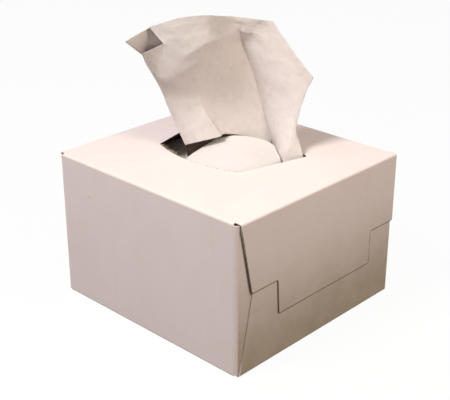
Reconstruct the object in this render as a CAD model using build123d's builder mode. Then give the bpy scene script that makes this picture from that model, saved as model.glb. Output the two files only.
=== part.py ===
"""Pop-up carton of lens cleaning tissues, in millimetres.

The carton stands on Z = 0, centred on the Z axis. X runs along the front panel and Y from front to back.
"""
import math
import os

from build123d import *

# Tissues: sheets folded once in half and stacked with the fold along X
sheet_width = 112.0  # along X
sheet_length = 213.0  # unfolded, so half of it runs along Y
tissue = 0.25  # thickness of a creped sheet
stack_height = 61.0
stack_softness = 2.5  # rounding of the top sheets' edges

# Board of the carton and the room it leaves around the stack
board = 0.5  # thickness
fold_radius = 0.7  # inside the scored folds
corner_radius = 2.0  # inside the softer upright folds
end_gap = 2.5  # stack to dust flaps
side_gap = 2.25  # stack to front and back panels
headspace = 13.0  # stack to top panel

# End flaps: the top flap lies over the bottom flap, and both lie over the two dust flaps
shoulder_drop = 35.0  # top fold to the shoulders
tab_drop = 52.4  # top fold to the end of the tab
tab_front_inset = 26.0  # front panel to the tab
tab_back_inset = 18.3  # back panel to the tab
tab_taper = 1.1  # slant of the tab's front edge
tab_root_radius = 1.6  # where the tab leaves the shoulders
flap_inset = 1.6  # front edge of the top and bottom flaps at their folds
flap_taper = 7.2  # slant of the top flap's front edge
bottom_flap_length = 52.0
bottom_flap_taper = 10.5  # slant of the bottom flap's front edge
bottom_flap_back_inset = 1.0  # back panel to the bottom flap
dust_flap_length = 45.0
dust_flap_relief = 0.9  # cut away above and below the dust flaps
glue_lap = 14.0  # height of the lap inside the back panel
lap_edge = 0.3  # raw lower edge of the back panel above the base

# Mouth in the top panel: splayed sides between two shallow arcs, wider at the back
mouth_front_width = 54.0
mouth_back_width = 73.0
mouth_depth = 37.5  # between its corners, along Y
mouth_bulge = 5.5  # of the front and back arcs
mouth_corner_radius = 1.5
mouth_x = -5.5
mouth_y = 4.5

# Tissues in the mouth: the next one is arched up into a mound, the raised one stands behind and around it
mound_left = 5.0  # left edge of the arched sheet from the middle of the mouth
mound_length = 30.0  # along X
mound_rise = 4.0  # crest above the top panel
mound_draw = 7.0  # how far both back corners are drawn in along X
mound_left_skew = 17.0  # where the left one starts in front of the back foot
mound_right_skew = 12.0  # and the right one
mound_tuck = 4.0  # front foot under the top panel
mound_shoulder = 4.0  # front shoulder below the top panel
mound_radius = 3.0  # of its folds
mound_back_gap = 11.0  # back foot to the back corners of the mouth
raised_height = 63.0  # above the top panel
raised_turn = math.radians(43.7)  # the raised sheet faces between the front panel and the right end

# Sizes that follow from the ones above
carton_width = sheet_width + 2 * (end_gap + 3 * board)
carton_depth = sheet_length / 2 + 2 * (side_gap + board)
carton_height = stack_height + headspace + 2 * board
half_width = carton_width / 2
half_depth = carton_depth / 2
tube_end = half_width - 3 * board - corner_radius
stack_top = board + stack_height


def band(*corners, radius, thickness=board):
    """Section of a strip folded along a line of corners, on the sketch plane in use."""
    with BuildLine() as middle:
        FilletPolyline(*corners, radius=radius + thickness / 2)
    trace(middle.line, line_width=thickness)


# Tube of four panels, closed by the glue lap inside the back panel
with BuildPart() as tube:
    with BuildSketch(Plane.YZ):
        band(
            (half_depth - 1.5 * board, glue_lap),
            (half_depth - 1.5 * board, board / 2),
            (board / 2 - half_depth, board / 2),
            (board / 2 - half_depth, carton_height - board / 2),
            (0, carton_height - board / 2),
            radius=fold_radius,
        )
        band(
            (0, carton_height - board / 2),
            (half_depth - board / 2, carton_height - board / 2),
            (half_depth - board / 2, lap_edge),
            radius=fold_radius,
        )
    extrude(amount=tube_end, both=True)

# Dust flap: turns in from the front panel round the upright corner
with BuildPart() as dust_flap:
    with BuildSketch(Plane.XY.offset(dust_flap_relief)):
        band(
            (tube_end - board, board / 2 - half_depth),
            (half_width - 2.5 * board, board / 2 - half_depth),
            (half_width - 2.5 * board, dust_flap_length - half_depth),
            radius=corner_radius,
        )
    extrude(amount=carton_height - 2 * dust_flap_relief)

# Bottom flap: folds up over the dust flaps, narrowing upwards along its front edge
with BuildPart() as bottom_flap:
    with BuildSketch(Plane.XZ):
        band(
            (tube_end - board, board / 2),
            (half_width - 1.5 * board, board / 2),
            (half_width - 1.5 * board, bottom_flap_length),
            radius=fold_radius,
        )
    extrude(amount=half_depth, both=True)
    with BuildSketch(Plane.YZ):
        with BuildLine():
            Polyline(
                (flap_inset - half_depth, 0),
                (flap_inset + bottom_flap_taper - half_depth, bottom_flap_length),
                (half_depth - bottom_flap_back_inset, bottom_flap_length),
                (half_depth - bottom_flap_back_inset, 0),
                close=True,
            )
        make_face()
    extrude(amount=half_width, mode=Mode.INTERSECT)

# Top flap: folds down outermost, with two shoulders and a tab between them
with BuildPart() as top_flap:
    with BuildSketch(Plane.XZ):
        band(
            (tube_end - board, carton_height - board / 2),
            (half_width - board / 2, carton_height - board / 2),
            (half_width - board / 2, carton_height - tab_drop),
            radius=fold_radius,
        )
    extrude(amount=half_depth, both=True)
    with BuildSketch(Plane.YZ) as top_flap_outline:
        with BuildLine():
            Polyline(
                (flap_inset - half_depth, carton_height),
                (flap_inset + flap_taper - half_depth, carton_height - shoulder_drop),
                (tab_front_inset - half_depth, carton_height - shoulder_drop),
                (tab_front_inset + tab_taper - half_depth, carton_height - tab_drop),
                (half_depth - tab_back_inset, carton_height - tab_drop),
                (half_depth - tab_back_inset, carton_height - shoulder_drop),
                (half_depth, carton_height - shoulder_drop),
                (half_depth, carton_height),
                close=True,
            )
        make_face()
        shoulder_points = top_flap_outline.vertices().group_by(Axis.Y)[1].sort_by(Axis.X)
        fillet(shoulder_points[1:3], tab_root_radius)
    extrude(amount=half_width, mode=Mode.INTERSECT)

# Carton: the tube with its flaps glued shut at both ends and the mouth torn out of the top
with BuildPart() as carton:
    add(tube.part)
    add(dust_flap.part)
    mirror(dust_flap.part, about=Plane.XZ)
    add(bottom_flap.part)
    add(top_flap.part)
    mirror(about=Plane.YZ)
    with BuildSketch(Plane((mouth_x, mouth_y, carton_height))) as mouth:
        with BuildLine():
            front_left = (-mouth_front_width / 2, -mouth_depth / 2)
            front_right = (mouth_front_width / 2, -mouth_depth / 2)
            back_left = (-mouth_back_width / 2, mouth_depth / 2)
            back_right = (mouth_back_width / 2, mouth_depth / 2)
            ThreePointArc(front_left, (0, -mouth_depth / 2 - mouth_bulge), front_right)
            Line(front_right, back_right)
            ThreePointArc(back_right, (0, mouth_depth / 2 + mouth_bulge), back_left)
            Line(back_left, front_left)
        make_face()
        fillet(mouth.vertices(), mouth_corner_radius)
    extrude(amount=-2 * board, mode=Mode.SUBTRACT)

# Stack of folded tissues, lying on the bottom panel
with BuildPart() as tissue_stack:
    with BuildSketch(Plane.XY.offset(board)):
        Rectangle(sheet_width, sheet_length / 2)
    extrude(amount=stack_height)
    fillet(tissue_stack.edges().group_by(Axis.Z)[-1], stack_softness)

# Next tissue: one sheet arched up under the mouth with its feet on the stack, highest towards the back
sheet_foot = stack_top + tissue - carton_height
mound_front = -mouth_depth / 2 - mouth_bulge - mound_tuck
mound_back = mouth_depth / 2 - mound_back_gap
mound_depth = mound_back - mound_front
with BuildPart() as next_tissue:
    with BuildSketch(Plane((mouth_x - mound_left, mouth_y, carton_height), x_dir=(0, 1, 0), z_dir=(1, 0, 0))):
        band(
            (mound_front, sheet_foot),
            (mound_front + mound_depth / 9, -mound_shoulder),
            (mound_front + mound_depth / 2, mound_rise / 2),
            (mound_back - mound_depth / 9, mound_rise),
            (mound_back, sheet_foot),
            radius=mound_radius,
            thickness=tissue,
        )
    extrude(amount=mound_length)
    with BuildSketch(Plane((mouth_x, mouth_y, carton_height))):
        with BuildLine():
            Polyline(
                (-mound_left, mound_front - tissue),
                (-mound_left, mound_back - mound_left_skew),
                (mound_draw - mound_left, mound_back + tissue),
                (mound_length - mound_draw - mound_left, mound_back + tissue),
                (mound_length - mound_left, mound_back - mound_right_skew),
                (mound_length - mound_left, mound_front - tissue),
                close=True,
            )
        make_face()
    extrude(amount=carton_height, both=True, mode=Mode.INTERSECT)

# Raised tissue: ribs fan out from its gathered foot, and the sheet spans straight from each rib to the next.
# A rib lies in the plane of its own direction and of the direction that the sheet faces.
facing = Plane(
    (mouth_x, mouth_y, carton_height),
    x_dir=(math.cos(raised_turn), math.sin(raised_turn), 0),
    z_dir=(math.sin(raised_turn), -math.cos(raised_turn), 0),
)
percent = raised_height / 100
rib_steps = (0, 0.25, 0.43, 0.62, 0.85, 1)  # shares of a rib, from its foot to its tip


def rib(foot_across, tip_across, tip_up, *towards):
    """Section of the raised sheet along one rib, in percent of its height. Towards is how far the sheet stands
    out at each step."""
    foot = facing.from_local_coords((foot_across * percent, sheet_foot))
    tip = facing.from_local_coords((tip_across * percent, tip_up * percent))
    run = tip - foot
    points = [(step * run.length, toward * percent) for step, toward in zip(rib_steps, towards)]
    with BuildSketch(Plane(foot, x_dir=run, z_dir=run.cross(facing.z_dir))) as section:
        with BuildLine():
            front = Spline(*[(along, toward + tissue / 2) for along, toward in points])
            back = Spline(*[(along, toward - tissue / 2) for along, toward in points])
            Line(front @ 0, back @ 0)
            Line(front @ 1, back @ 1)
        make_face()
    return section.sketch


ribs = [
    rib(-22, -70, 91, -8, 5, 4, 4, 8, 14),  # left edge
    rib(-15, -56, 94, -11, 7, 9, 9, 6, -3),  # fold to the left tip
    rib(-5, -36, 99, -16, 2, 4, 5, 4, -8),  # left side of the hollow
    rib(14, -15, 101, -19, -8, -6, -5, -2, -11),  # middle of the hollow
    rib(43, 6, 98, -16, -12, -14, -15, -13, -16),  # valley
    rib(46, 35, 96, 3, 4, -3, -8, -12, -16),  # top right corner
    rib(49, 53, 72, 18, 18, 9, 2, -6, -11),  # fold at the mouth's right side
    rib(53, 67, 53, 14, 14, 9, 3, -6, -13),  # right edge
]
with BuildPart() as raised_tissue:
    loft(ribs, ruled=True)

os.makedirs("parts", exist_ok=True)
for built, node in (
    (carton, "carton"),
    (tissue_stack, "tissue_stack"),
    (next_tissue, "next_tissue"),
    (raised_tissue, "raised_tissue"),
):
    built.part.label = node
    export_step(built.part, f"parts/{node}.step")
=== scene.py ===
# %% [markdown]
# # A pop-up carton of lens cleaning tissues
# The carton is one folded blank of white board. A stack of half-folded tissues lies in it, one tissue
# stands up out of the mouth in its top, and the next one is already drawn up below it.
# The carton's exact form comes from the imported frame. Blender adds what makes it look like paper:
# the drawn-up sheets, the stack's loose edges, the torn fibres round the mouth and all the finishes.

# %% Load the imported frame
import math
import random
from types import SimpleNamespace

import bmesh
import bpy
from mathutils import Matrix, Vector, noise


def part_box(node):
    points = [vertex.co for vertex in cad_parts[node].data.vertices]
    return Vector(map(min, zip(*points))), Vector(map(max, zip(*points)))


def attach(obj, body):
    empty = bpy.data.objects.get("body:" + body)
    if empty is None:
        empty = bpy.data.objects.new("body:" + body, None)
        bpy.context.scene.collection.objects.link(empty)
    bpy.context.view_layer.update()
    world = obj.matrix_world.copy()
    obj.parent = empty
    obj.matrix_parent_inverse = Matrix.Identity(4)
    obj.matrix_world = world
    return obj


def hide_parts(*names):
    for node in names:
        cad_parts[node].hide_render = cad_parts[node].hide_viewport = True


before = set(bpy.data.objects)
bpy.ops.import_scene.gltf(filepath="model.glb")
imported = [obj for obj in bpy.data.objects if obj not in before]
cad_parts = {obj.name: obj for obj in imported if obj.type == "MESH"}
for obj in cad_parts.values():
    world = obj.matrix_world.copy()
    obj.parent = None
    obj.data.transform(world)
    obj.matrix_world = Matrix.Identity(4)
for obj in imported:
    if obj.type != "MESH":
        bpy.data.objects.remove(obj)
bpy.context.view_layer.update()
mm = 0.001
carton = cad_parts["carton"]
carton_low, carton_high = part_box("carton")
stack_low, stack_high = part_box("tissue_stack")
board = stack_low.z
panel = carton_high.z
carton_size = [round(side / mm, 1) for side in carton_high - carton_low]
print("carton", carton_size, "mm, top panel at", round(panel / mm, 1))

# %% [markdown]
# ## Camera
# The photograph looks down on one upright corner of the carton. A long lens from half a metre keeps the
# edges nearly parallel. The camera is turned by two angles about the carton's middle and then slid a little
# sideways and up, which frames the carton and its tissue without any lens shift.

# %% Camera at the photograph's angle
view_azimuth = math.radians(43.722)
view_elevation = math.radians(24.208)
view_distance = 500.28 * mm
view_slide = -1.024 * mm
view_lift = 11.386 * mm
view_lens = 80.13

across_axis = Vector((math.cos(view_azimuth), math.sin(view_azimuth), 0))
toward_axis = Vector((math.sin(view_azimuth), -math.cos(view_azimuth), 0))
up_axis = Vector((0, 0, 1))
camera_back = toward_axis * math.cos(view_elevation) + up_axis * math.sin(view_elevation)
camera_up = camera_back.cross(across_axis)
carton_middle = (carton_low + carton_high) / 2

camera_data = bpy.data.cameras.new("camera")
camera_data.sensor_fit = "HORIZONTAL"
camera_data.lens = view_lens
camera = bpy.data.objects.new("camera", camera_data)
camera.rotation_euler = (math.pi / 2 - view_elevation, 0, view_azimuth)
camera.location = (
    carton_middle + camera_back * view_distance + across_axis * view_slide + camera_up * view_lift
)
bpy.context.scene.collection.objects.link(camera)
bpy.context.scene.camera = camera
bpy.context.scene.view_settings.view_transform = "Standard"
print("camera", [round(value, 3) for value in camera.location])

# %% [markdown]
# ## Small helpers for nodes
# Finishes could be put together by hand in the Shader Editor. Here they are written in code, so that every
# value can be read and changed. Short functions add a node, do sums on masks and mix two colours, and each
# takes either a socket of another node or a plain value.

# %% Helpers that add and join nodes
# A Mix node has sockets for several kinds of data, and these are the places of its colour sockets
MIX_MASK = 0
MIX_FIRST = 6
MIX_SECOND = 7
MIX_RESULT = 2


def add_node(tree, kind, inputs=None, **settings):
    """Adds a node, with its settings and the values of its unlinked inputs."""
    node = tree.nodes.new(kind)
    for name, value in settings.items():
        setattr(node, name, value)
    for name, value in (inputs or {}).items():
        node.inputs[name].default_value = value
    return node


def feed(tree, operand, socket):
    """Links a socket to an input, or sets the input to a plain value."""
    if isinstance(operand, bpy.types.NodeSocket):
        tree.links.new(operand, socket)
    else:
        socket.default_value = operand


def math_node(tree, operation, *operands):
    """Adds a Math node on one or two operands, and gives its output."""
    node = add_node(tree, "ShaderNodeMath", operation=operation)
    for operand, socket in zip(operands, node.inputs):
        feed(tree, operand, socket)
    return node.outputs[0]


def ramp_between(tree, value, low, high):
    """Gives 0 where the value is below low, 1 where it is above high, and a smooth step between."""
    limits = {"From Min": low, "From Max": high}
    node = add_node(tree, "ShaderNodeMapRange", limits, interpolation_type="SMOOTHSTEP")
    tree.links.new(value, node.inputs["Value"])
    return node.outputs["Result"]


def mix_colours(tree, mask, first, second):
    """Mixes two colours by a mask or a number, and gives the result."""
    node = add_node(tree, "ShaderNodeMix", data_type="RGBA")
    feed(tree, mask, node.inputs[MIX_MASK])
    feed(tree, first, node.inputs[MIX_FIRST])
    feed(tree, second, node.inputs[MIX_SECOND])
    return node.outputs[MIX_RESULT]


def seen_rays(tree):
    """Gives 1 for rays that show a surface, straight or by way of another one, and 0 for rays that only
    light it."""
    ray = add_node(tree, "ShaderNodeLightPath")
    seen = math_node(tree, "MAXIMUM", ray.outputs["Is Camera Ray"], ray.outputs["Is Glossy Ray"])
    return math_node(tree, "MAXIMUM", seen, ray.outputs["Is Transmission Ray"])


# %% [markdown]
# ## Floor
# The photograph shows the carton cut out on white. A floor that is only white would lose the carton's shadow,
# so this one mixes two shaders for the rays that are seen: a little of a lit surface, which carries the soft
# shadow, and a lot of plain white. Light that bounces off the floor finds it darker, because the carton's low
# parts are dim in the photograph.

# %% Pale floor that keeps the shadow
pure_white = (1, 1, 1, 1)
floor_size = 3.0
floor_white = (0.92, 0.91, 0.9, 1)
floor_bounce = (0.16, 0.15, 0.14, 1)
floor_seen_white = 0.95

floor_shape = bmesh.new()
bmesh.ops.create_grid(floor_shape, x_segments=1, y_segments=1, size=floor_size)
floor_mesh = bpy.data.meshes.new("floor")
floor_shape.to_mesh(floor_mesh)
floor_shape.free()
floor = bpy.data.objects.new("floor", floor_mesh)
bpy.context.scene.collection.objects.link(floor)

floor_material = bpy.data.materials.new("pale_floor")
floor_material.use_nodes = True
tree = floor_material.node_tree
tree.nodes.clear()
floor_diffuse = add_node(tree, "ShaderNodeBsdfDiffuse", {"Color": floor_bounce})
floor_lit = add_node(tree, "ShaderNodeBsdfDiffuse", {"Color": floor_white})
floor_glow = add_node(tree, "ShaderNodeEmission", {"Color": pure_white, "Strength": 1.0})
floor_seen = add_node(tree, "ShaderNodeMixShader", {"Fac": floor_seen_white})
floor_mix = add_node(tree, "ShaderNodeMixShader")
floor_out = add_node(tree, "ShaderNodeOutputMaterial")
tree.links.new(floor_lit.outputs[0], floor_seen.inputs[1])
tree.links.new(floor_glow.outputs[0], floor_seen.inputs[2])
tree.links.new(seen_rays(tree), floor_mix.inputs["Fac"])
tree.links.new(floor_diffuse.outputs[0], floor_mix.inputs[1])
tree.links.new(floor_seen.outputs[0], floor_mix.inputs[2])
tree.links.new(floor_mix.outputs[0], floor_out.inputs["Surface"])
floor_mesh.materials.append(floor_material)
print("floor", floor_size * 2, "m wide")

# %% [markdown]
# ## Light
# The world lights the scene weakly and evenly, and looks white to the camera. The main light is soft and
# comes from the upper left. A sun lamp would give hard shadows, so both lamps are squares, which soften them.
# A weaker, warmer lamp stands on the right, where the carton's end turns away from the main light.

# %% World
ambient = 0.22
sky_warm = (1.0, 0.95, 0.91, 1)
world = bpy.data.worlds.new("studio")
bpy.context.scene.world = world
world.use_nodes = True
tree = world.node_tree
tree.nodes.clear()
soft_sky = add_node(tree, "ShaderNodeBackground", {"Color": sky_warm, "Strength": ambient})
white_sky = add_node(tree, "ShaderNodeBackground", {"Color": pure_white, "Strength": 1.0})
sky_mix = add_node(tree, "ShaderNodeMixShader")
sky_out = add_node(tree, "ShaderNodeOutputWorld")
tree.links.new(seen_rays(tree), sky_mix.inputs["Fac"])
tree.links.new(soft_sky.outputs[0], sky_mix.inputs[1])
tree.links.new(white_sky.outputs[0], sky_mix.inputs[2])
tree.links.new(sky_mix.outputs[0], sky_out.inputs["Surface"])
print("world lights with", ambient)

# %% Lamps
main_place = Vector((-0.10, -0.445, 0.68))
main_size = 0.24
main_power = 4.72
main_colour = (1.0, 0.975, 0.965)
end_place = Vector((0.34, 0.02, 0.34))
end_size = 0.16
end_power = 0.81
end_colour = (1.0, 0.89, 0.75)


def add_lamp(name, place, size, power, colour):
    """Adds a square area lamp that faces the carton's middle."""
    lamp_data = bpy.data.lights.new(name, "AREA")
    lamp_data.shape = "SQUARE"
    lamp_data.size = size
    lamp_data.energy = power
    lamp_data.color = colour
    lamp = bpy.data.objects.new(name, lamp_data)
    lamp.location = place
    lamp.rotation_euler = (carton_middle - lamp.location).to_track_quat("-Z", "Y").to_euler()
    bpy.context.scene.collection.objects.link(lamp)
    print(name, round(power, 2), "W at", [round(value, 2) for value in lamp.location])


add_lamp("main_lamp", main_place, main_size, main_power, main_colour)
add_lamp("end_lamp", end_place, end_size, end_power, end_colour)

# %% [markdown]
# ## Pressed fibres
# Board and tissue are both pressed from fibres, so they share one node group. It gives a cloudy mottle, as
# when paper is held to the light, a fine grain for the bump, and short threads that show as darker flecks.
# A scanned paper would need an image. Noise textures need none, and they work at any distance.

# %% Node group: pressed fibres
fibres = bpy.data.node_groups.new("pressed_fibres", "ShaderNodeTree")
fibres.interface.new_socket("Vector", in_out="INPUT", socket_type="NodeSocketVector")
for name in ("Cloud Scale", "Grain Scale"):
    fibres.interface.new_socket(name, in_out="INPUT", socket_type="NodeSocketFloat")
for name in ("Clouds", "Flecks", "Grain"):
    fibres.interface.new_socket(name, in_out="OUTPUT", socket_type="NodeSocketFloat")
group_in = add_node(fibres, "NodeGroupInput")
group_out = add_node(fibres, "NodeGroupOutput")
clouds = add_node(fibres, "ShaderNodeTexNoise", {"Detail": 5.0, "Roughness": 0.62, "Distortion": 0.4})
grain = add_node(fibres, "ShaderNodeTexNoise", {"Detail": 3.0, "Roughness": 0.6})
threads = add_node(fibres, "ShaderNodeTexNoise", {"Detail": 2.0, "Roughness": 0.5, "Distortion": 1.2})
for node, scale in ((clouds, "Cloud Scale"), (grain, "Grain Scale"), (threads, "Grain Scale")):
    fibres.links.new(group_in.outputs["Vector"], node.inputs["Vector"])
    fibres.links.new(group_in.outputs[scale], node.inputs["Scale"])
sparse = ramp_between(fibres, clouds.outputs["Fac"], low=0.55, high=0.72)
thin = ramp_between(fibres, threads.outputs["Fac"], low=0.6, high=0.72)
fibres.links.new(clouds.outputs["Fac"], group_out.inputs["Clouds"])
fibres.links.new(math_node(fibres, "MULTIPLY", thin, sparse), group_out.inputs["Flecks"])
fibres.links.new(grain.outputs["Fac"], group_out.inputs["Grain"])
print(fibres.name, len(fibres.nodes), "nodes")


# %% Helper: a paper material
def paper_material(name, roughness, cloud_scale, grain_scale, bump_strength, bump_depth):
    """Starts a material with the fibres' bump, and gives it with the nodes that a finish builds on."""
    material = bpy.data.materials.new(name)
    material.use_nodes = True
    tree = material.node_tree
    shader = tree.nodes["Principled BSDF"]
    shader.inputs["Roughness"].default_value = roughness
    place = add_node(tree, "ShaderNodeTexCoord")
    paper = add_node(tree, "ShaderNodeGroup", node_tree=fibres)
    paper.inputs["Cloud Scale"].default_value = cloud_scale
    paper.inputs["Grain Scale"].default_value = grain_scale
    tree.links.new(place.outputs["Object"], paper.inputs["Vector"])
    bump = add_node(tree, "ShaderNodeBump", {"Strength": bump_strength, "Distance": bump_depth})
    tree.links.new(paper.outputs["Grain"], bump.inputs["Height"])
    tree.links.new(bump.outputs["Normal"], shader.inputs["Normal"])
    return SimpleNamespace(
        material=material, tree=tree, shader=shader, place=place, paper=paper, bump=bump
    )


# %% [markdown]
# ## White board
# The carton's board is white outside and dark inside, where little light comes in; the liner's brown is
# darkened further, as painted shade.
# It could have a material for each side, but the carton is one mesh, so masks tell the sides apart:
# a face is outside where it looks away from the carton's middle. On top of the clean white come faint
# streaks, a darkening low on the two ends that is partly grime and partly painted shade, a single speck,
# and painted shade with a little dust in the narrow steps beside the flaps.

# %% White board: clean colour and masks
board_white = (0.93, 0.808, 0.785, 1)
board_cloud = (0.91, 0.785, 0.757, 1)
board_sheen = 0.3

board_finish = paper_material(
    "white_board", roughness=0.62, cloud_scale=60.0, grain_scale=900.0,
    bump_strength=0.12, bump_depth=0.1 * mm,
)
tree = board_finish.tree
place = board_finish.place
paper = board_finish.paper
board_finish.shader.inputs["Specular IOR Level"].default_value = board_sheen
spot = add_node(tree, "ShaderNodeSeparateXYZ")
facing = add_node(tree, "ShaderNodeSeparateXYZ")
tree.links.new(place.outputs["Object"], spot.inputs[0])
tree.links.new(place.outputs["Normal"], facing.inputs[0])
height = math_node(tree, "SUBTRACT", spot.outputs["Z"], panel / 2)
lean = math_node(tree, "MULTIPLY", spot.outputs["X"], facing.outputs["X"])
lean = math_node(tree, "ADD", lean, math_node(tree, "MULTIPLY", spot.outputs["Y"], facing.outputs["Y"]))
lean = math_node(tree, "ADD", lean, math_node(tree, "MULTIPLY", height, facing.outputs["Z"]))
inside = math_node(tree, "LESS_THAN", lean, 0.0)
end_face = ramp_between(tree, math_node(tree, "ABSOLUTE", facing.outputs["X"]), low=0.8, high=0.95)
upright = math_node(tree, "LESS_THAN", math_node(tree, "ABSOLUTE", facing.outputs["Z"]), 0.5)
mottle = ramp_between(tree, paper.outputs["Clouds"], low=0.35, high=0.7)
colour = mix_colours(tree, mottle, board_white, board_cloud)
print(board_finish.material.name, "starts with", len(tree.nodes), "nodes")

# %% White board: streaks, and grime with painted shade on the ends
board_grime_and_shade = (0.50, 0.41, 0.30, 1)
streak_scale = (260.0, 260.0, 12.0)
streak_strength = 0.05
darkening_top = 0.8 * panel
even_shade = 0.85
patchy_grime = 0.25

stretch = add_node(tree, "ShaderNodeMapping", {"Scale": streak_scale})
tree.links.new(place.outputs["Object"], stretch.inputs["Vector"])
streaks = add_node(tree, "ShaderNodeTexNoise", {"Scale": 1.0, "Detail": 2.0})
tree.links.new(stretch.outputs["Vector"], streaks.inputs["Vector"])
rubbed = ramp_between(tree, streaks.outputs["Fac"], low=0.55, high=0.8)
rubbed = math_node(tree, "MULTIPLY", rubbed, upright)
colour = mix_colours(tree, math_node(tree, "MULTIPLY", rubbed, streak_strength), colour, board_grime_and_shade)

# Darker towards the bottom of the two ends: the even part is painted shade, for the light falling off low
# down, and the patchy part is grime.
grime_and_shade_share = ramp_between(tree, paper.outputs["Clouds"], low=0.38, high=0.75)
grime_and_shade_share = math_node(tree, "ADD", math_node(tree, "MULTIPLY", grime_and_shade_share, patchy_grime), even_shade)
low_down = math_node(tree, "SUBTRACT", 1.0, ramp_between(tree, spot.outputs["Z"], low=0.0, high=darkening_top))
end_darkening = math_node(tree, "MULTIPLY", math_node(tree, "MULTIPLY", low_down, end_face), grime_and_shade_share)
colour = mix_colours(tree, end_darkening, colour, board_grime_and_shade)
print("grime up to", round(darkening_top / mm, 1), "mm")

# %% White board: speck, inner side and steps, with painted shade inside and in the steps
board_raw = (0.60, 0.49, 0.38, 1)
board_liner_and_shade = (0.16, 0.125, 0.09, 1)
speck_place = (-37.8 * mm, -56 * mm, 58 * mm)
speck_strength = 0.7
step_shade_reach = 1.2 * mm
step_shade = 0.75

to_speck = add_node(tree, "ShaderNodeVectorMath", operation="DISTANCE")
to_speck.inputs[1].default_value = speck_place
tree.links.new(place.outputs["Object"], to_speck.inputs[0])
away = ramp_between(tree, to_speck.outputs["Value"], low=0.3 * mm, high=0.7 * mm)
speck = math_node(tree, "SUBTRACT", 1.0, away)
colour = mix_colours(tree, math_node(tree, "MULTIPLY", speck, speck_strength), colour, board_raw)
# The inner side takes the liner's brown, darkened further as painted shade.
colour = mix_colours(tree, inside, colour, board_liner_and_shade)

# Painted shade with a little dust: the narrow steps beside the flaps are darkened where ambient occlusion
# finds them closed in.
corner = add_node(tree, "ShaderNodeAmbientOcclusion", {"Distance": step_shade_reach})
open_face = ramp_between(tree, corner.outputs["AO"], low=0.45, high=0.95)
colour = mix_colours(tree, open_face, mix_colours(tree, step_shade, colour, board_grime_and_shade), colour)
tree.links.new(colour, board_finish.shader.inputs["Base Color"])
carton.data.materials.clear()
carton.data.materials.append(board_finish.material)
print(board_finish.material.name, "ends with", len(tree.nodes), "nodes")

# %% [markdown]
# ## Creped tissue
# A lens tissue is thin and matt, and a little light comes through it from behind. Subsurface scattering is
# made for thick things such as wax, so a Translucent shader is mixed in instead, which suits a thin sheet.
# The raised tissue is tucked under at its hem. That part lies in deep shade, and its colour is darkened by a
# mask on the sheet's own UV map, which runs up the sheet from its foot to its top edge.

# %% Creped tissue
tissue_fleck = (0.66, 0.60, 0.55, 1)
tissue_sheen = 0.15
fleck_strength = 0.8
see_through = 0.1
under_hem_shade = (0.20, 0.15, 0.10, 1)
under_strength = 0.95
under_width = 0.6
under_start = 0.85


def tissue_material(name, white, cloud, hem_share=None):
    """Thin creped sheet between two tones. Given the share of its length where its hem lies, it paints shade
    below the hem, in the left part of its width."""
    finish = paper_material(
        name, roughness=0.85, cloud_scale=330.0, grain_scale=1100.0,
        bump_strength=0.25, bump_depth=0.12 * mm,
    )
    tree = finish.tree
    finish.shader.inputs["Specular IOR Level"].default_value = tissue_sheen
    mottle = ramp_between(tree, finish.paper.outputs["Clouds"], low=0.45, high=0.75)
    colour = mix_colours(tree, mottle, white, cloud)
    flecks = math_node(tree, "MULTIPLY", finish.paper.outputs["Flecks"], fleck_strength)
    colour = mix_colours(tree, flecks, colour, tissue_fleck)
    if hem_share:
        sheet_place = add_node(tree, "ShaderNodeSeparateXYZ")
        tree.links.new(finish.place.outputs["UV"], sheet_place.inputs[0])
        above = ramp_between(tree, sheet_place.outputs["Y"], low=under_start * hem_share, high=hem_share)
        left_part = math_node(tree, "LESS_THAN", sheet_place.outputs["X"], under_width)
        under = math_node(tree, "MULTIPLY", math_node(tree, "SUBTRACT", 1.0, above), left_part)
        colour = mix_colours(tree, math_node(tree, "MULTIPLY", under, under_strength), colour, under_hem_shade)
    tree.links.new(colour, finish.shader.inputs["Base Color"])
    glow = add_node(tree, "ShaderNodeBsdfTranslucent")
    tree.links.new(colour, glow.inputs["Color"])
    tree.links.new(finish.bump.outputs["Normal"], glow.inputs["Normal"])
    mix = add_node(tree, "ShaderNodeMixShader", {"Fac": see_through})
    tree.links.new(finish.shader.outputs[0], mix.inputs[1])
    tree.links.new(glow.outputs[0], mix.inputs[2])
    tree.links.new(mix.outputs[0], tree.nodes["Material Output"].inputs["Surface"])
    print(name, len(tree.nodes), "nodes")
    return finish.material


raised_white = (0.835, 0.77, 0.745, 1)
raised_cloud = (0.77, 0.70, 0.665, 1)
raised_hem = 2 / 9  # the hem is the third of the sheet's ten rows
next_white = (0.84, 0.79, 0.775, 1)
next_cloud = (0.82, 0.76, 0.74, 1)
raised_finish = tissue_material("raised_tissue_paper", raised_white, raised_cloud, raised_hem)
next_finish = tissue_material("next_tissue_paper", next_white, next_cloud)

# %% [markdown]
# ## Sheets from a cage
# A drawn-up tissue is a flat sheet that hangs from its folds. Cloth simulation would drape it in its own way,
# but this one tissue has a shape to match, so it is modelled as a sculptor would: a coarse grid is moved onto
# the folds, sharp folds get an edge crease, and a Subdivision Surface rounds the rest. Subdivision pulls a
# surface inside its cage, so the cage is pushed out until the surface passes through the wanted points.


# %% Helper that makes an object
def make_object(name, shape, material):
    """Turns a bmesh into an object at the origin, with its material, that rides on the carton."""
    mesh = bpy.data.meshes.new(name)
    shape.to_mesh(mesh)
    shape.free()
    piece = bpy.data.objects.new(name, mesh)
    bpy.context.scene.collection.objects.link(piece)
    mesh.materials.append(material)
    mesh.shade_smooth()
    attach(piece, "root")
    print(name, len(mesh.polygons), "faces")
    return piece


# %% Helpers: a smooth sheet through rows of points
fit_rounds = 6
fit_share = 0.8  # of a miss that the cage makes good in one round
cage_reach = 2.5 * mm


def smoothed(piece):
    """The piece as its modifiers leave it."""
    bpy.context.view_layer.update()
    return piece.evaluated_get(bpy.context.evaluated_depsgraph_get())


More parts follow.
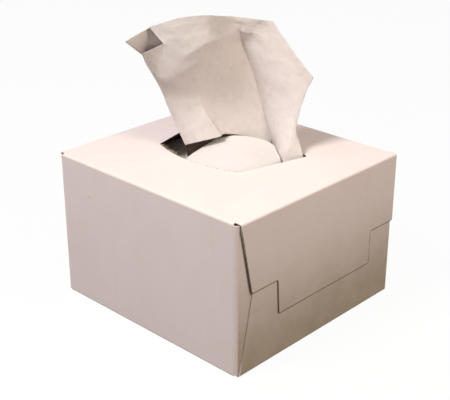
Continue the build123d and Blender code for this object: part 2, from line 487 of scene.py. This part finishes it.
def fit_cage(piece):
    """Moves the points of a subdivided cage until the smooth sheet passes through where they were. No point
    goes further than the cage's reach."""
    wanted = [vertex.co.copy() for vertex in piece.data.vertices]
    for _ in range(fit_rounds):
        reached = smoothed(piece).data.vertices
        misses = [goal - reached[index].co for index, goal in enumerate(wanted)]
        for vertex, miss, goal in zip(piece.data.vertices, misses, wanted):
            pushed = vertex.co + fit_share * miss - goal
            vertex.co = goal + pushed * min(1.0, cage_reach / max(pushed.length, cage_reach))
    print(piece.name, "cage missed by", round(max(miss.length for miss in misses) / mm, 2), "mm")


def sheet_from_rows(name, rows, creases, corners, levels, material):
    """Lays a grid through rows of points. Creases are {(row, column, row, column): sharpness}, and corners
    the (row, column) places where the outline turns sharply."""
    shape = bmesh.new()
    shape.loops.layers.uv.new("UVMap")
    crease = shape.edges.layers.float.new("crease_edge")
    corner = shape.verts.layers.float.new("crease_vert")
    last_row = len(rows) - 1
    last_column = len(rows[0]) - 1
    bmesh.ops.create_grid(shape, x_segments=last_column, y_segments=last_row, size=1, calc_uvs=True)
    vertex_at = {}
    for vertex in shape.verts:
        row = round((vertex.co.y + 1) / 2 * last_row)
        column = round((vertex.co.x + 1) / 2 * last_column)
        vertex_at[row, column] = vertex
    for (row, column), vertex in vertex_at.items():
        vertex.co = rows[row][column]
    for (row, column, next_row, next_column), sharpness in creases.items():
        edge = shape.edges.get((vertex_at[row, column], vertex_at[next_row, next_column]))
        edge[crease] = sharpness
    for place in corners:
        vertex_at[place][corner] = 1.0
    piece = make_object(name, shape, material)
    subdivision = piece.modifiers.new("rounding", "SUBSURF")
    subdivision.levels = levels
    subdivision.render_levels = levels
    subdivision.boundary_smooth = "PRESERVE_CORNERS"
    fit_cage(piece)
    smooth = bpy.data.meshes.new_from_object(smoothed(piece))
    piece.modifiers.clear()
    piece.data = smooth
    return piece


# %% Helpers: creases and thickness
fold_angle = math.radians(16)
ridge_noise = {"H": 0.9, "lacunarity": 2.1, "octaves": 3, "offset": 1.0, "gain": 2.0}


def crinkle(piece, size, depth, seed):
    """Moves a sheet's points along its normals by ridged noise, which looks like soft paper creases."""
    shift = Vector((seed, 2 * seed, 3 * seed))
    for vertex in piece.data.vertices:
        ripple = noise.ridged_multi_fractal(vertex.co / size + shift, *ridge_noise.values())
        vertex.co += vertex.normal * (ripple - 1.0) * depth
    piece.data.update()


def thicken_sheet(piece, thickness):
    """Gives a sheet its thickness, half to each side."""
    wall = piece.modifiers.new("thickness", "SOLIDIFY")
    wall.thickness = thickness
    wall.offset = 0
    piece.data.shade_smooth()
    piece.data.set_sharp_from_angle(angle=fold_angle)


# %% [markdown]
# ## Raised tissue
# The tissue that stands up is gathered in the mouth and fans out above it. Its top leans back behind a ridge,
# a hollow lies under the ridge, and a sharp valley parts the hollow from the right-hand panel. The rows below
# run from the stack up to the top edge, each from the left edge to the right edge. They are measured as the
# camera sees them, because the folds were judged from there.

# %% Raised tissue: rows of points, in millimetres across, up and towards the camera
foot = [
    (-18.5, -11.6, -6), (-15.5, -11.6, -7), (-12, -11.6, -8), (-8, -11.6, -11), (3, -11.6, -12.5),
    (24, -11.6, -10), (26.5, -11.6, 2), (28.5, -11.6, 12), (34, -11.6, 9),
]
tuck = [
    (-19, -2, -2), (-15.5, 0, -2), (-12, 2, -3), (-7.5, 5.2, -5), (2, 0, -9.5),
    (24, -5, -8), (26, -5, 3), (27.5, -7, 14), (36, -6, 10),
]
hem = [
    (-19.5, 3, 4), (-16.5, 4.5, 5.5), (-11.5, 6, 6.5), (-2, 8, 5.5), (1, 7, -2),
    (23.5, 1, -6), (25, 0.5, 4), (26.5, -2, 16), (37.5, -0.5, 11),
]
waist = [
    (-26, 17, 0.5), (-23, 17, 2), (-18.5, 17.5, 3), (-10, 19, 2.8), (-7.5, 18, -1.5),
    (18.5, 17, -11), (27, 17, -2), (32.5, 13, 4.5), (34, 10, 4.5),
]
belly = [
    (-30.5, 29.5, 1.5), (-28, 29, 2.5), (-23, 28.5, 3), (-14.5, 28, 1.5), (-6, 30.5, -3.5),
    (14.5, 31, -14), (25, 31.5, -6), (32, 26.5, -1), (36, 20, 2),
]
under_lip = [
    (-34, 38, 4.5), (-32, 36.5, 4.5), (-29, 35, 6.5), (-17, 42.5, 6.8), (-6.5, 48, 3.2),
    (7.5, 49, -16.5), (18.5, 48.5, -11), (32, 36.5, -4), (38, 26, 0),
]
lip = [
    (-37, 44.5, 7), (-32.5, 43.5, 6.5), (-27.5, 41, 7), (-16.5, 50, 8), (-6.5, 54.5, 5),
    (6.5, 55, -12.5), (16.5, 53.5, -12), (32, 41, -5.5), (39.5, 30, -1),
]
brow = [
    (-38.5, 50, 9), (-29, 54, 7.5), (-28.5, 54.5, 7.5), (-19.5, 58.5, 7.2), (-8.5, 61, 4),
    (4.5, 59, -11.5), (18.5, 56, -12), (32.5, 44, -6), (41, 33, -1),
]
pocket = [
    (-38.5, 43, -9), (-28, 49, -6), (-31.5, 57.5, 6), (-21, 62, 7), (-9, 64, 3.5),
    (4, 60.5, -11), (20.5, 58, -12), (32.5, 45, -6.2), (41.5, 34, -1),
]
top_edge = [
    (-45.5, 57.5, 16), (-33.5, 61, -0.5), (-35, 61.5, 5), (-21.5, 66, 6.3), (-9.5, 66.5, 3),
    (3.5, 62.5, -11), (22.5, 60, -12), (33, 46, -6.5), (42, 35.5, -1),
]
raised_lines = (foot, tuck, hem, waist, belly, under_lip, lip, brow, pocket, top_edge)
print("raised tissue", len(raised_lines), "rows of", len(foot), "points")

# %% Raised tissue: points beside the valley
mouth_x = -5.5 * mm
mouth_y = 4.5 * mm
mouth_middle = Vector((mouth_x, mouth_y, panel))
valley_place = 5
folded_share = 0.25
rounded_share = 0.5


def sheet_point(across, up, toward):
    """A point measured in millimetres from the mouth's middle, as the camera sees it."""
    return mouth_middle + (across_axis * across + up_axis * up + toward_axis * toward) * mm


def with_sides(line, share):
    """Adds a point on either side of the valley. Near it they keep the sheet flat up to a sharp fold, and
    further off they leave room for a round bend."""
    before, valley, after = [Vector(point) for point in line[valley_place - 1:valley_place + 2]]
    beside = [valley.lerp(before, share), valley, valley.lerp(after, share)]
    return [*line[:valley_place], *beside, *line[valley_place + 1:]]


raised_rows = []
for line in raised_lines:
    share = rounded_share if line in (lip, brow, pocket, top_edge) else folded_share
    raised_rows.append([sheet_point(*point) for point in with_sides(line, share)])
print("raised tissue", len(raised_rows[0]), "columns with those beside the valley")

# %% Raised tissue: creases and corners
FOOT, TUCK, HEM, WAIST, BELLY, UNDER_LIP, LIP, BROW, POCKET, TOP = range(len(raised_rows))
LEFT, BEHIND_TIP, TIP, PANEL, HOLLOW, INNER, VALLEY, OUTER, CORNER, FOLD, RIGHT = range(len(raised_rows[0]))
sharp = 1.0
nearly_sharp = 0.9
rounded = 0.6
faint = 0.3

raised_creases = {
    (HEM, FOLD, WAIST, FOLD): nearly_sharp,
    (HEM, PANEL, WAIST, PANEL): sharp,
    (WAIST, PANEL, BELLY, PANEL): faint,
    (UNDER_LIP, VALLEY, LIP, VALLEY): rounded,
    (POCKET, BEHIND_TIP, TOP, BEHIND_TIP): sharp,
    (POCKET, LEFT, POCKET, BEHIND_TIP): sharp,
}
for row in (HEM, WAIST, BELLY):
    raised_creases[row, VALLEY, row + 1, VALLEY] = sharp
for row in (BROW, POCKET):
    raised_creases[row, TIP, row + 1, TIP] = sharp
for column in (LEFT, BEHIND_TIP):
    raised_creases[BROW, column, BROW, column + 1] = sharp
for column in range(TIP, CORNER):
    raised_creases[LIP, column, LIP, column + 1] = rounded
    raised_creases[UNDER_LIP, column, UNDER_LIP, column + 1] = rounded
for column in range(LEFT, VALLEY):
    raised_creases[HEM, column, HEM, column + 1] = sharp
raised_corners = [(TOP, CORNER), (TOP, TIP), (BROW, TIP), (BROW, LEFT), (WAIST, RIGHT), (HEM, LEFT)]
print("raised tissue", len(raised_creases), "creased edges and", len(raised_corners), "corners")

# %% Raised tissue: the sheet
sheet_thickness = 0.12 * mm
raised_levels = 4

raised = sheet_from_rows(
    "raised_sheet", raised_rows, raised_creases, raised_corners, raised_levels, raised_finish
)
crinkle(raised, size=9 * mm, depth=0.22 * mm, seed=3.0)
crinkle(raised, size=3 * mm, depth=0.06 * mm, seed=5.0)
thicken_sheet(raised, sheet_thickness)
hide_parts("raised_tissue")
print("raised tissue", len(raised.data.polygons), "faces when smooth")

# %% [markdown]
# ## Next tissue
# The sheet below lies folded on the stack, and its middle is pulled up with the raised one and bulges in the
# mouth. It is the same kind of grid, flat on the stack all round and arched from front to back in the middle,
# with a straight fold along the left side of the arch. It stays just clear of the mouth's edge and of the
# raised sheet.

# %% Next tissue: rows of the mound, in millimetres along the carton's axes from the mouth's middle
lying = -12.3
foot_slope = 0.5
mound_x = (-4.8, 2, 10, 18, 25, 28.5, 32)
front_shoulder = [
    (-4.8, -24.4, -2.2), (2, -24.8, -2.2), (10, -24.2, -2.2), (18, -22.8, -2.2),
    (24, -20.6, -2.3), (26.5, -18.3, -2.6), (29, -16.5, -3.2),
]
near_edge = [
    (-4.8, -20, 0), (2, -20, 0.8), (10, -19.5, 1), (18, -18, 0.9),
    (24, -15.5, 0.4), (26.5, -13, -0.2), (30.5, -11.5, -3),
]
mound_middle = [
    (-4.8, -11, 2), (2, -10, 3.4), (10, -8, 4.2), (18, -5.5, 3.8),
    (24.8, -4, 2.4), (28.4, -3.2, 0.9), (32, -3, -3),
]
mound_crest = [
    (-4.8, -0.5, 4), (2, 3.8, 5.5), (10, 7.6, 5.6), (18, 11.5, 4.1),
    (24.3, 9, 2.3), (29, 6.4, 0.8), (31.7, 4.2, -1.5),
]
mound_back = [
    (-4.8, 0.4, 2), (2, 5, 3.2), (10, 9.8, 3.6), (19.3, 13.8, 1.2),
    (24.6, 10, 0.2), (29.4, 6.9, -0.7), (32.4, 4.9, -3.5),
]
back_foot = [(x, y + foot_slope, lying) for x, y, z in mound_back]
print("mound rises to", max(z for x, y, z in mound_crest), "mm above the top panel")

# %% Next tissue: the lying part round the mound
left_lying = (-50, -28, -12, -7)
right_lying = (37, 48, 61)


def flat_row(y):
    """A row of the sheet that lies on the stack from end to end."""
    return [(x, y, lying) for x in left_lying + mound_x + right_lying]


def arched_row(left_y, right_y, middle):
    """A row of the sheet that rises over the arch between its two lying sides."""
    left = [(x, left_y, lying) for x in left_lying]
    right = [(x, right_y, lying) for x in right_lying]
    return left + middle + right


next_lines = [
    flat_row(-57),
    flat_row(-34),
    flat_row(-27.5),
    arched_row(-24, -22, front_shoulder),
    arched_row(-19, -15, near_edge),
    arched_row(-10, -3, mound_middle),
    arched_row(-2, 3, mound_crest),
    arched_row(1, 7, mound_back),
    arched_row(4, 10, back_foot),
    flat_row(24),
    flat_row(48),
]
next_rows = [[mouth_middle + Vector(point) * mm for point in line] for line in next_lines]
print("next tissue", len(next_rows), "rows of", len(next_rows[0]), "points")

# %% Next tissue: creases and the sheet
SHOULDER = 3
CREST = 6
FOLD_SIDE = len(left_lying)
shoulder_crease = 0.8
crest_crease = 0.4
next_levels = 3

next_creases = {}
for row in range(SHOULDER, CREST):
    next_creases[row, FOLD_SIDE, row + 1, FOLD_SIDE] = sharp
for column in range(FOLD_SIDE, FOLD_SIDE + len(mound_x) - 1):
    next_creases[SHOULDER, column, SHOULDER, column + 1] = shoulder_crease
    next_creases[CREST, column, CREST, column + 1] = crest_crease
next_corners = [(SHOULDER, FOLD_SIDE), (CREST, FOLD_SIDE)]
mound = sheet_from_rows("next_sheet", next_rows, next_creases, next_corners, next_levels, next_finish)
thicken_sheet(mound, sheet_thickness)
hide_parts("next_tissue")
print("next tissue", len(mound.data.polygons), "faces when smooth")

# %% [markdown]
# ## Stack of tissues
# The stack is a block whose sides show the edges of many folded sheets. Separate sheets would be many pieces
# that are hardly seen, so a cube is cut into layers by subdividing its upright edges, and every layer is
# drawn in by its own small amount, never beyond the block. Seeded random numbers give the same stack each
# time.

# %% Stack of folded sheets
random.seed(7)
stack_layers = 64
layer_scatter = 0.5
top_layers = 3
top_inset = 1.2

stack_shape = bmesh.new()
stack_middle = Matrix.Translation((stack_low + stack_high) / 2)
stack_size = Matrix.Diagonal((*(stack_high - stack_low), 1))
bmesh.ops.create_cube(stack_shape, size=1, matrix=stack_middle @ stack_size)
upright_edges = [edge for edge in stack_shape.edges if abs(edge.verts[0].co.z - edge.verts[1].co.z) > board]
bmesh.ops.subdivide_edges(stack_shape, edges=upright_edges, cuts=stack_layers - 1, use_grid_fill=True)
layer_inset = {}
for vertex in stack_shape.verts:
    layer = round((vertex.co.z - stack_low.z) / (stack_high.z - stack_low.z) * stack_layers)
    if layer not in layer_inset:
        rounding = top_inset if layer > stack_layers - top_layers else 0
        layer_inset[layer] = (random.uniform(0, layer_scatter) + rounding) * mm
    vertex.co.x -= math.copysign(layer_inset[layer], vertex.co.x)
    vertex.co.y -= math.copysign(layer_inset[layer], vertex.co.y)
stack = make_object("stack_layers", stack_shape, next_finish)
stack.data.shade_flat()
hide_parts("tissue_stack")

# %% [markdown]
# ## Torn edge of the mouth
# The mouth was closed by a perforated panel, which has been torn out. Small nibs of board are left along the
# tear, and at its left end the plies of the board have parted into a fringe of fibres. A hair system could
# grow them, but a few dozen cones are enough: each nib and fibre is a cone of its own with its root in the
# board, and random numbers make them uneven.

# %% Front edge of the mouth
front_half_width = 27 * mm
front_bulge = 5.5 * mm
front_corner_y = -18.75 * mm
arc_radius = (front_half_width ** 2 + front_bulge ** 2) / (2 * front_bulge)
arc_reach = math.asin(front_half_width / arc_radius)
arc_middle = mouth_middle + Vector((0, front_corner_y - front_bulge + arc_radius, -board / 2))


def front_edge(share):
    """A point on the mouth's front edge, from its left end at 0 to its right end at 1, and the way inwards
    from it."""
    angle = (2 * share - 1) * arc_reach
    inward = Vector((-math.sin(angle), math.cos(angle), 0))
    return arc_middle - inward * arc_radius, inward


print("front edge of the mouth: arc of", round(arc_radius / mm, 1), "mm radius")


# %% Finish of raw board
def raw_finish(name, dark, pale):
    """Torn or dusty board, and the shade that its callers paint with it: rough, and mottled between a dark
    and a pale tone.
    """
    finish = paper_material(
        name, roughness=0.9, cloud_scale=700.0, grain_scale=2500.0,
        bump_strength=0.3, bump_depth=0.05 * mm,
    )
    tree = finish.tree
    tone = ramp_between(tree, finish.paper.outputs["Clouds"], low=0.3, high=0.7)
    tree.links.new(mix_colours(tree, tone, dark, pale), finish.shader.inputs["Base Color"])
    print(name, len(tree.nodes), "nodes")
    return finish.material


# The dark tone is partly raw board and partly painted shadow, for the dark dashes between the nibs and the
# mound behind them.
torn_dark_and_shade = (0.24, 0.18, 0.12, 1)
torn_pale = (0.62, 0.52, 0.36, 1)
torn_finish = raw_finish("torn_board", torn_dark_and_shade, torn_pale)

# %% Nibs and fibres along the front of the mouth
cone_sides = 5
nib_count = 34
nib_lengths = (0.6, 1.2)
nib_lean = 0.3
nib_root = 0.2 * mm
nib_thick = 0.32 * mm
nib_thin = 0.1 * mm
fibre_count = 46
fibre_lengths = (1.0, 2.6)
fibre_lean = 0.7
fibre_root = 0.1 * mm
fibre_thick = 0.18 * mm
fibre_thin = 0.06 * mm
fringe_start = 0.02
fringe_end = 0.4


def add_cone(shape, root, way, length, thick, thin):
    """Adds a cone that starts at its root and points one way."""
    turn = way.to_track_quat("Z", "Y").to_matrix().to_4x4()
    place = Matrix.Translation(root + way.normalized() * length / 2) @ turn
    bmesh.ops.create_cone(
        shape, cap_ends=True, segments=cone_sides, radius1=thick, radius2=thin, depth=length, matrix=place
    )


torn_shape = bmesh.new()
for nib in range(nib_count):
    root, inward = front_edge((nib + random.uniform(0.3, 0.7)) / nib_count)
    way = inward + Vector((random.uniform(-nib_lean, nib_lean), 0, random.uniform(-0.1, 0.25)))
    length = random.uniform(*nib_lengths) * mm
    add_cone(torn_shape, root - inward * nib_root, way, length, nib_thick, nib_thin)
for fibre in range(fibre_count):
    root, inward = front_edge(random.uniform(fringe_start, fringe_end))
    sideways = random.uniform(-fibre_lean, fibre_lean)
    way = inward + Vector((sideways, random.uniform(-0.2, 0.2), random.uniform(-0.2, 0.8)))
    length = random.uniform(*fibre_lengths) * mm
    add_cone(torn_shape, root - inward * fibre_root, way, length, fibre_thick, fibre_thin)
make_object("torn_edge", torn_shape, torn_finish)

# %% [markdown]
# ## Edges of the end flaps
# Where one flap ends on another, its raw edge, a little dust and the shadow in the step draw a thin dark
# line.
# A painted line would need a map of the carton's faces. Here the lines are narrow dark strips, painted shadow
# with a little dust, that lie on the lower flap right beside the step, along the top flap's slanted front
# edge, its two shoulders and its tab, at both ends of the carton.

# %% Painted shadow lines along the flaps' raw edges, in millimetres from front to back and up
line_start = (-53.8, 72)
shoulder_front = -47.2
shoulder_back = 56
shoulder_height = 40
tab_front = -30
tab_front_end = -28.9
tab_back = 37.7
tab_height = 22.6
flap_edge = [
    line_start,
    (shoulder_front, shoulder_height),
    (tab_front, shoulder_height),
    (tab_front_end, tab_height),
    (tab_back, tab_height),
    (tab_back, shoulder_height),
    (shoulder_back, shoulder_height),
]
line_width = 0.45 * mm
line_depth = 0.9 * board
line_x = carton_high.x - 0.65 * board
x_axis = Vector((1, 0, 0))
# Tones of the strips: painted shadow in the step, with a little dust.
dust_and_shadow_dark = (0.10, 0.075, 0.05, 1)
dust_and_shadow_pale = (0.30, 0.24, 0.17, 1)
dust_and_shadow_finish = raw_finish("flap_dust_and_shadow", dust_and_shadow_dark, dust_and_shadow_pale)

edge_shape = bmesh.new()
for (start_y, start_z), (end_y, end_z) in zip(flap_edge, flap_edge[1:]):
    start = Vector((0, start_y, start_z)) * mm
    end = Vector((0, end_y, end_z)) * mm
    along = (end - start).normalized()
    outward = along.cross(x_axis)
    axes = Matrix((x_axis, along, outward)).transposed().to_4x4()
    size = Matrix.Diagonal((line_depth, (end - start).length, line_width, 1))
    for side in (-1, 1):
        middle = (start + end) / 2 + outward * line_width / 2 + x_axis * side * line_x
        bmesh.ops.create_cube(edge_shape, size=1, matrix=Matrix.Translation(middle) @ axes @ size)
make_object("flap_shadow_lines", edge_shape, dust_and_shadow_finish)
